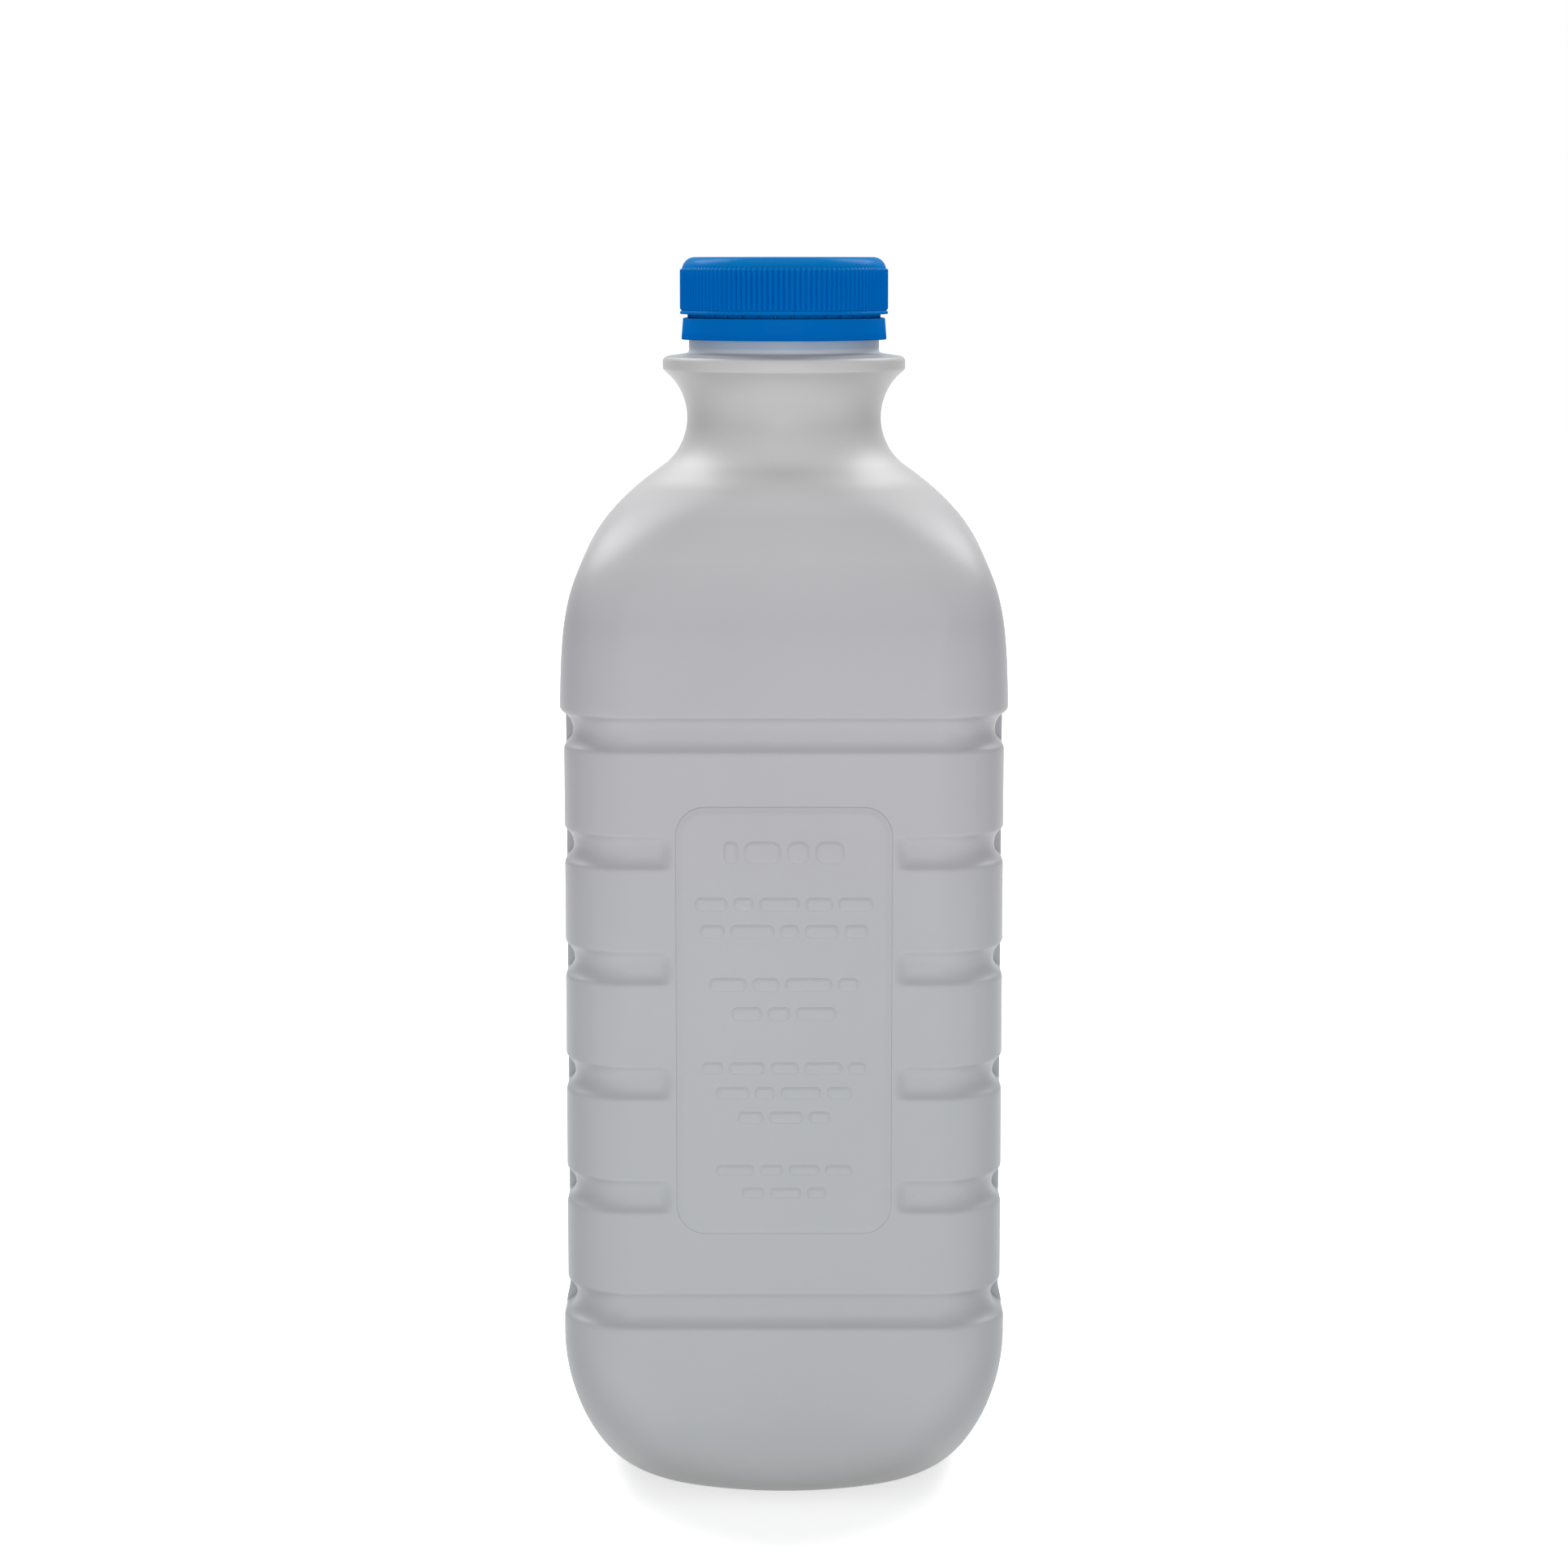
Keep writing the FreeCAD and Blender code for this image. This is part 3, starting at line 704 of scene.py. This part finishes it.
def cap_points(cap):
    """Radius, height and rib share of each ring of the cap, from the bore's top to the crown."""
    edge = cap.rim_edge
    rim = cap.radius - edge * 0.1
    valley = cap.radius - cap.rib_depth
    rib_foot = cap.bottom + cap.rim_height
    rib_top = rib_foot + cap.rib_length
    crown_z = cap.top - cap.crown_edge
    base = cap.radius - cap.crown_inset
    crown_x = base - math.sqrt(cap.crown_edge ** 2 - (rib_top - crown_z) ** 2)
    crown_start = math.acos((base - crown_x) / cap.crown_edge)
    gate = cap.gate_radius
    gate_floor = cap.top - cap.gate_depth
    lower_edge = arc(rim - edge, cap.bottom + edge, edge, -RIGHT_ANGLE, 0.0, CAP_EDGE_STEPS)
    crown_round = arc(crown_x, crown_z, cap.crown_edge, crown_start, RIGHT_ANGLE, CROWN_STEPS)
    inside = [(0.0, BOTTLE_HIGH.z), (cap.bore, BOTTLE_HIGH.z), (cap.bore, cap.bottom)]
    rim_chamfer = [(rim, rib_foot - edge * 1.7), (rim - edge, rib_foot - edge * 0.5)]
    ribs = [
        (valley + edge * 0.2, rib_foot, 0.25),
        (valley, rib_foot + edge, 0.85),
        (valley, rib_foot + edge * 2, 1),
        (valley, mix(rib_foot, rib_top, 0.35), 1),
        (valley, mix(rib_foot, rib_top, 0.7), 1),
        (valley, rib_top - edge * 2, 1),
        (valley, rib_top - edge, 0.9),
        (valley - edge * 0.2, rib_top - edge * 0.3, 0.55),
    ]
    lid = [(radius, cap.top) for radius in (crown_x * 0.97, crown_x * 0.5, gate * 2.4, gate * 1.6,
                                            gate * 1.2)]
    mark = [(gate, cap.top - cap.gate_depth * 0.3), (gate * 0.7, gate_floor), (0.0, gate_floor)]
    skirt = [(*point, 0) for point in inside + lower_edge + rim_chamfer]
    return skirt + ribs + [(*point, 0) for point in crown_round + lid + mark]


class MILKBOTTLE_OT_cap(bpy.types.Operator):
    """Build the ribbed screw cap"""

    bl_idname = "milk_bottle.cap"
    bl_label = "Screw Cap"

    segments_per_rib = 7

    def execute(self, context):
        cap = context.scene.milk_bottle_cap
        points = cap_points(cap)
        segments = cap.rib_count * self.segments_per_rib

        def place(column, row):
            radius, height, rib = points[row]
            share = (column % self.segments_per_rib) / self.segments_per_rib
            radius += cap.rib_depth * rib * rib_profile(share)
            return ring_point(radius, height, column / segments)

        bm = wrapped_grid(segments, len(points), place)
        finish_piece(bm, "screw_cap", cap_material(context), ["cap"])
        return {"FINISHED"}


def band_points(cap):
    """Radius and height of each ring of the tamper band, closed on itself at its inside."""
    bottom = cap.band_bottom
    top = bottom + cap.band_height
    low_radius = cap.bore + cap.band_bottom_wall
    high_radius = cap.bore + cap.band_top_wall
    edge = cap.band_edge
    start = (cap.bore, mix(bottom, top, 0.5))
    lower_edge = arc(low_radius - edge, bottom + edge, edge, -RIGHT_ANGLE, 0.0, CAP_EDGE_STEPS)
    wall = [(mix(low_radius, high_radius, share), mix(bottom + edge, top - edge, share))
            for share in (0.35, 0.7)]
    upper_edge = arc(high_radius - edge, top - edge, edge, 0.0, RIGHT_ANGLE, CAP_EDGE_STEPS)
    return [start, (cap.bore, bottom)] + lower_edge + wall + upper_edge + [(cap.bore, top), start]


class MILKBOTTLE_OT_tamper_band(bpy.types.Operator):
    """Build the tamper band and the bridges that hold it to the cap"""

    bl_idname = "milk_bottle.tamper_band"
    bl_label = "Tamper Band"

    segments = 288
    bridge_segments = 5

    def execute(self, context):
        cap = context.scene.milk_bottle_cap
        points = band_points(cap)

        def place(column, row):
            radius, height = points[row]
            return ring_point(radius, height, column / self.segments)

        bm = wrapped_grid(self.segments, len(points), place)
        self.add_bridges(bm, cap)
        finish_piece(bm, "tear_band", cap_material(context), ["tamper_band"])
        return {"FINISHED"}

    def add_bridges(self, bm, cap):
        """Short curved walls between the band's top and the cap's rim."""
        band_top = cap.band_bottom + cap.band_height
        pitch = 2 * math.pi / cap.bridge_count
        sweep = pitch - cap.bridge_gap / cap.bore
        middle = (cap.bore + cap.bridge_wall / 2, 0.0, (band_top + cap.bottom) / 2)
        end = (Matrix.Translation(middle) @ Matrix.Rotation(RIGHT_ANGLE, 4, "X")
               @ Matrix.Diagonal((cap.bridge_wall, cap.bottom - band_top, 1.0, 1.0)))
        for index in range(cap.bridge_count):
            grid = bmesh.ops.create_grid(bm, x_segments=1, y_segments=1, size=0.5)
            start = Matrix.Rotation(index * pitch - sweep / 2, 4, "Z")
            bmesh.ops.transform(bm, matrix=start @ end, verts=grid["verts"])
            face = grid["verts"][0].link_faces[0]
            first = bmesh.ops.extrude_face_region(bm, geom=[face], use_keep_orig=True)
            bmesh.ops.rotate(bm, verts=new_corners(first), cent=Vector(),
                             matrix=Matrix.Rotation(sweep / self.bridge_segments, 3, "Z"))
            bmesh.ops.spin(bm, geom=first["geom"], cent=Vector(), axis=Vector((0, 0, 1)),
                           angle=sweep * (1 - 1 / self.bridge_segments),
                           steps=self.bridge_segments - 1, use_duplicate=False)


# Materials

def set_inputs(target, values):
    """Plain values for a node's sockets."""
    for socket, value in values.items():
        target.inputs[socket].default_value = value


def add_node(tree, kind, inputs=None, **settings):
    """New shader node with these settings and plain inputs."""
    new = tree.nodes.new(kind)
    for name, value in settings.items():
        setattr(new, name, value)
    set_inputs(new, inputs or {})
    return new


def connect(tree, *wires):
    """Links between nodes, each given as a node, its output, the next node and its input."""
    for source, output, target, socket in wires:
        tree.links.new(source.outputs[output], target.inputs[socket])


def moulded_surface():
    """Node group: faint clouding and a soft uneven skin, as moulded plastic has."""
    name = "moulded_surface"
    if name in bpy.data.node_groups:
        return bpy.data.node_groups[name]
    tree = bpy.data.node_groups.new(name, "ShaderNodeTree")
    defaults = {"Color": (1, 1, 1, 1), "Cloud Depth": 0.05, "Cloud Scale": 30.0,
                "Skin Scale": 400.0, "Roughness": 0.4, "Roughness Spread": 0.08}
    for label, default in defaults.items():
        kind = "NodeSocketColor" if label == "Color" else "NodeSocketFloat"
        socket = tree.interface.new_socket(label, in_out="INPUT", socket_type=kind)
        socket.default_value = default
    for label in ("Color", "Roughness", "Height"):
        kind = "NodeSocketColor" if label == "Color" else "NodeSocketFloat"
        tree.interface.new_socket(label, in_out="OUTPUT", socket_type=kind)
    given = add_node(tree, "NodeGroupInput")
    result = add_node(tree, "NodeGroupOutput")
    place = add_node(tree, "ShaderNodeTexCoord")
    stretch = add_node(tree, "ShaderNodeMapping", {"Scale": (1.0, 1.0, 0.45)})
    cloud = add_node(tree, "ShaderNodeTexNoise", {"Detail": 4.0, "Roughness": 0.55})
    skin = add_node(tree, "ShaderNodeTexNoise", {"Detail": 3.0})
    depth = add_node(tree, "ShaderNodeMath", operation="MULTIPLY")
    blend = add_node(tree, "ShaderNodeMix", data_type="RGBA", blend_type="MULTIPLY")
    set_inputs(blend, {"B": (0.0, 0.0, 0.0, 1.0)})
    centre = add_node(tree, "ShaderNodeMath", {1: 0.5}, operation="SUBTRACT")
    spread = add_node(tree, "ShaderNodeMath", operation="MULTIPLY_ADD")
    connect(tree,
            (place, "Object", stretch, "Vector"),
            (stretch, "Vector", cloud, "Vector"),
            (place, "Object", skin, "Vector"),
            (given, "Cloud Scale", cloud, "Scale"),
            (given, "Skin Scale", skin, "Scale"),
            (cloud, "Fac", depth, 0),
            (given, "Cloud Depth", depth, 1),
            (depth, 0, blend, "Factor"),
            (given, "Color", blend, "A"),
            (cloud, "Fac", centre, 0),
            (centre, 0, spread, 0),
            (given, "Roughness Spread", spread, 1),
            (given, "Roughness", spread, 2),
            (blend, "Result", result, "Color"),
            (spread, 0, result, "Roughness"),
            (skin, "Fac", result, "Height"))
    return tree


def new_material(name):
    """New material, its node tree and its shader."""
    material = bpy.data.materials.new(name)
    material.use_nodes = True
    return material, material.node_tree, material.node_tree.nodes["Principled BSDF"]


def plastic(name, colour, cloud_depth, cloud_scale, skin_depth, skin_scale, roughness, shine):
    """Moulded plastic material, with its node tree, its shader and its shared surface group."""
    material, tree, shader = new_material(name)
    set_inputs(shader, {"IOR": 1.5, "Specular IOR Level": shine})
    surface = add_node(tree, "ShaderNodeGroup", node_tree=moulded_surface())
    set_inputs(surface, {"Color": (*colour, 1.0), "Cloud Depth": cloud_depth,
                         "Cloud Scale": cloud_scale, "Skin Scale": skin_scale,
                         "Roughness": roughness})
    bump = add_node(tree, "ShaderNodeBump", {"Strength": 1.0, "Distance": skin_depth})
    connect(tree,
            (surface, "Color", shader, "Base Color"),
            (surface, "Roughness", shader, "Roughness"),
            (surface, "Height", bump, "Height"),
            (bump, "Normal", shader, "Normal"))
    return material, tree, shader, surface


def upright_share(tree, coordinate, low, high):
    """Node that runs from 0 to 1 as the z of a coordinate runs from low to high."""
    place = add_node(tree, "ShaderNodeTexCoord")
    split = add_node(tree, "ShaderNodeSeparateXYZ")
    share = add_node(tree, "ShaderNodeMapRange", {"From Min": low, "From Max": high})
    connect(tree, (place, coordinate, split, "Vector"), (split, "Z", share, "Value"))
    return share


def wall_material(context):
    """Satin polyethylene: its colour changes with height, with painted light on the foot, the
    shoulder, the neck and under the band, and painted shade darkens it where it turns away.
    """
    name = "satin_polyethylene"
    if name in bpy.data.materials:
        return bpy.data.materials[name]
    finish = context.scene.milk_bottle_finish
    material, tree, shader, surface = plastic(
        name, finish.wall, cloud_depth=0.06, cloud_scale=28.0, skin_depth=0.00002,
        skin_scale=260.0, roughness=0.45, shine=0.40)
    height = upright_share(tree, "Object", 0.0, BOTTLE_HIGH.z)
    ramp = add_node(tree, "ShaderNodeValToRGB")
    # Colour by height: a little cooler low on the body, with painted light at the foot, on the
    # shoulder, on the neck, where the neck meets the collar and under the band
    stops = ((0.0, finish.foot), (0.06, finish.heel), (0.35, finish.heel), (0.62, finish.wall),
             (0.72, finish.wall), (0.77, finish.low_shoulder_painted_light), (0.80, finish.low_shoulder_painted_light),
             (0.84, finish.shoulder), (0.87, finish.neck), (0.925, finish.neck),
             (0.9295, finish.neck_foot), (0.9340, finish.painted_band_light))
    for _ in stops[2:]:
        ramp.color_ramp.elements.new(0.5)
    for element, (position, colour) in zip(ramp.color_ramp.elements, stops):
        element.position = position
        element.color = (*colour, 1.0)
    # Painted shade: the wall's colour darkens where it turns away from the camera
    facing = add_node(tree, "ShaderNodeLayerWeight", {"Blend": 0.5})
    edge = add_node(tree, "ShaderNodeMapRange",
                    {"From Min": 0.08, "From Max": 0.62, "To Max": 0.27},
                    interpolation_type="SMOOTHSTEP")
    shade = add_node(tree, "ShaderNodeMix", data_type="RGBA", blend_type="MULTIPLY")
    set_inputs(shade, {"B": (0.0, 0.0, 0.0, 1.0)})
    connect(tree,
            (height, "Result", ramp, "Fac"),
            (ramp, "Color", surface, "Color"),
            (facing, "Facing", edge, "Value"),
            (edge, "Result", shade, "Factor"),
            (surface, "Color", shade, "A"),
            (shade, "Result", shader, "Base Color"))
    return material


def cap_material(context):
    """Blue cap plastic, dull on the skirt, and glossy on the crown, with a paler blue mixed in
    there as a painted sheen.
    """
    name = "cap_polyethylene"
    if name in bpy.data.materials:
        return bpy.data.materials[name]
    finish = context.scene.milk_bottle_finish
    material, tree, shader, surface = plastic(
        name, finish.cap, cloud_depth=0.08, cloud_scale=60.0, skin_depth=0.00001,
        skin_scale=700.0, roughness=0.35, shine=0.0)
    set_inputs(shader, {"Coat Roughness": 0.25})
    crown_coat = 0.13
    upward = upright_share(tree, "Normal", 0.02, 0.5)
    gloss = add_node(tree, "ShaderNodeMath", {1: crown_coat}, operation="MULTIPLY")
    # Painted sheen: a paler blue where the cap faces up
    painted_sheen = add_node(tree, "ShaderNodeMix", data_type="RGBA")
    set_inputs(painted_sheen, {"B": (*finish.crown, 1.0)})
    connect(tree,
            (upward, "Result", gloss, 0),
            (gloss, "Value", shader, "Coat Weight"),
            (upward, "Result", painted_sheen, "Factor"),
            (surface, "Color", painted_sheen, "A"),
            (painted_sheen, "Result", shader, "Base Color"))
    return material


# Studio

# Each lamp's name, place, the point it is aimed at, its width, height and power
LAMPS = (
    ("front_softbox", (0.0, -1.55, 0.26), (0.0, 0.0, 0.12), 1.0, 0.5, 5.9),
    ("top_softbox", (0.0, -0.2, 1.6), (0.0, 0.0, 0.2), 1.2, 1.2, 3.6),
    ("left_softbox", (-0.72, 0.70, 1.12), (0.0, 0.0, 0.18), 0.7, 0.7, 11.0),
    ("right_softbox", (0.72, 0.70, 1.12), (0.0, 0.0, 0.18), 0.7, 0.7, 11.0),
)


def add_lamp(name, place, aim, width, height, power):
    """Soft rectangular lamp."""
    light = bpy.data.lights.new(name, "AREA")
    light.shape = "RECTANGLE"
    light.size = width
    light.size_y = height
    light.energy = power
    piece = add_object(name, light)
    piece.location = place
    piece.rotation_euler = (Vector(aim) - Vector(place)).to_track_quat("-Z", "Y").to_euler()


def studio_white(tree, lighting, seen=1.0):
    """Node giving one strength for lighting and another where it is seen or mirrored."""
    path = add_node(tree, "ShaderNodeLightPath")
    mirrored = add_node(tree, "ShaderNodeMath", operation="MAXIMUM")
    either = add_node(tree, "ShaderNodeMath", operation="MAXIMUM")
    pick = add_node(tree, "ShaderNodeMix", {"A": lighting, "B": seen}, data_type="FLOAT")
    connect(tree,
            (path, "Is Glossy Ray", mirrored, 0),
            (path, "Is Transmission Ray", mirrored, 1),
            (path, "Is Camera Ray", either, 0),
            (mirrored, 0, either, 1),
            (either, 0, pick, "Factor"))
    return pick


class MILKBOTTLE_OT_studio(bpy.types.Operator):
    """Set up the floor, lamps, white surround and camera"""

    bl_idname = "milk_bottle.studio"
    bl_label = "Studio"

    lens = 85.0
    camera_distance = 0.7025
    camera_pitch = math.radians(8.0)
    aim_height = 0.1293
    floor_radius = 4.0
    floor_gap = 0.0002

    def execute(self, context):
        self.add_floor(context)
        self.add_surround(context)
        for values in LAMPS:
            add_lamp(*values)
        self.add_camera(context)
        context.scene.view_settings.view_transform = "Standard"
        return {"FINISHED"}

    def add_floor(self, context):
        """Pale round floor that glows a little, and is seen brighter further out."""
        finish = context.scene.milk_bottle_finish
        bm = bmesh.new()
        bmesh.ops.create_circle(bm, cap_ends=True, segments=96, radius=self.floor_radius)
        mesh = bpy.data.meshes.new("studio_floor")
        bm.to_mesh(mesh)
        bm.free()
        material, tree, shader = new_material("studio_floor")
        set_inputs(shader, {"Base Color": (*finish.floor, 1.0), "Roughness": 0.9,
                            "Specular IOR Level": 0.0, "Emission Color": (1.0, 1.0, 1.0, 1.0)})
        place = add_node(tree, "ShaderNodeTexCoord")
        distance = add_node(tree, "ShaderNodeVectorMath", operation="LENGTH")
        fade = add_node(tree, "ShaderNodeMapRange",
                        {"From Min": 0.1, "From Max": 0.9, "To Min": 0.52, "To Max": 0.86},
                        interpolation_type="SMOOTHSTEP")
        white = studio_white(tree, lighting=0.32)
        connect(tree,
                (place, "Object", distance, 0),
                (distance, "Value", fade, "Value"),
                (fade, "Result", white, "B"),
                (white, "Result", shader, "Emission Strength"))
        mesh.materials.append(material)
        floor = add_object("studio_floor", mesh)
        floor.location.z = -self.floor_gap

    def add_surround(self, context):
        """White world that lights the object from all round."""
        world = bpy.data.worlds.new("studio_surround")
        context.scene.world = world
        world.use_nodes = True
        tree = world.node_tree
        shader = tree.nodes["Background"]
        set_inputs(shader, {"Color": (1.0, 1.0, 1.0, 1.0)})
        white = studio_white(tree, lighting=0.34)
        connect(tree, (white, "Result", shader, "Strength"))

    def add_camera(self, context):
        """Camera that looks a little down on the middle of the front face."""
        camera = bpy.data.cameras.new("camera")
        camera.lens = self.lens
        camera.sensor_width = 36.0
        camera.clip_start = 0.01
        piece = add_object("camera", camera)
        piece.location = (0.0, -self.camera_distance * math.cos(self.camera_pitch),
                          self.aim_height + self.camera_distance * math.sin(self.camera_pitch))
        piece.rotation_euler = (RIGHT_ANGLE - self.camera_pitch, 0.0, 0.0)
        context.scene.camera = piece


class MILKBOTTLE_PT_panel(bpy.types.Panel):
    """List the pieces and their settings in the sidebar"""

    bl_idname = "MILKBOTTLE_PT_panel"
    bl_label = "Milk Bottle"
    bl_space_type = "VIEW_3D"
    bl_region_type = "UI"
    bl_category = "Milk Bottle"

    def draw(self, context):
        layout = self.layout
        for operator in OPERATORS:
            layout.operator(operator.bl_idname)
        for name in SETTINGS:
            settings = getattr(context.scene, name)
            box = layout.box()
            for key in settings.__annotations__:
                box.prop(settings, key)


SETTINGS = {
    "milk_bottle_body": MilkBottleBodySettings,
    "milk_bottle_panel": MilkBottlePanelSettings,
    "milk_bottle_cap": MilkBottleCapSettings,
    "milk_bottle_finish": MilkBottleFinishSettings,
}
OPERATORS = (
    MILKBOTTLE_OT_body,
    MILKBOTTLE_OT_panels,
    MILKBOTTLE_OT_marks,
    MILKBOTTLE_OT_cap,
    MILKBOTTLE_OT_tamper_band,
    MILKBOTTLE_OT_studio,
)


def register():
    """Registers the settings, the operators and the panel."""
    for name, settings in SETTINGS.items():
        bpy.utils.register_class(settings)
        setattr(bpy.types.Scene, name, PointerProperty(type=settings))
    for operator in OPERATORS:
        bpy.utils.register_class(operator)
    bpy.utils.register_class(MILKBOTTLE_PT_panel)


def unregister():
    """Removes the panel, the operators and the settings."""
    bpy.utils.unregister_class(MILKBOTTLE_PT_panel)
    for operator in reversed(OPERATORS):
        bpy.utils.unregister_class(operator)
    for name, settings in SETTINGS.items():
        delattr(bpy.types.Scene, name)
        bpy.utils.unregister_class(settings)


def main():
    """Builds every piece and the studio."""
    register()
    bpy.ops.milk_bottle.body()
    bpy.ops.milk_bottle.panels()
    bpy.ops.milk_bottle.marks()
    bpy.ops.milk_bottle.cap()
    bpy.ops.milk_bottle.tamper_band()
    bpy.ops.milk_bottle.studio()


if __name__ == "__main__":
    main()
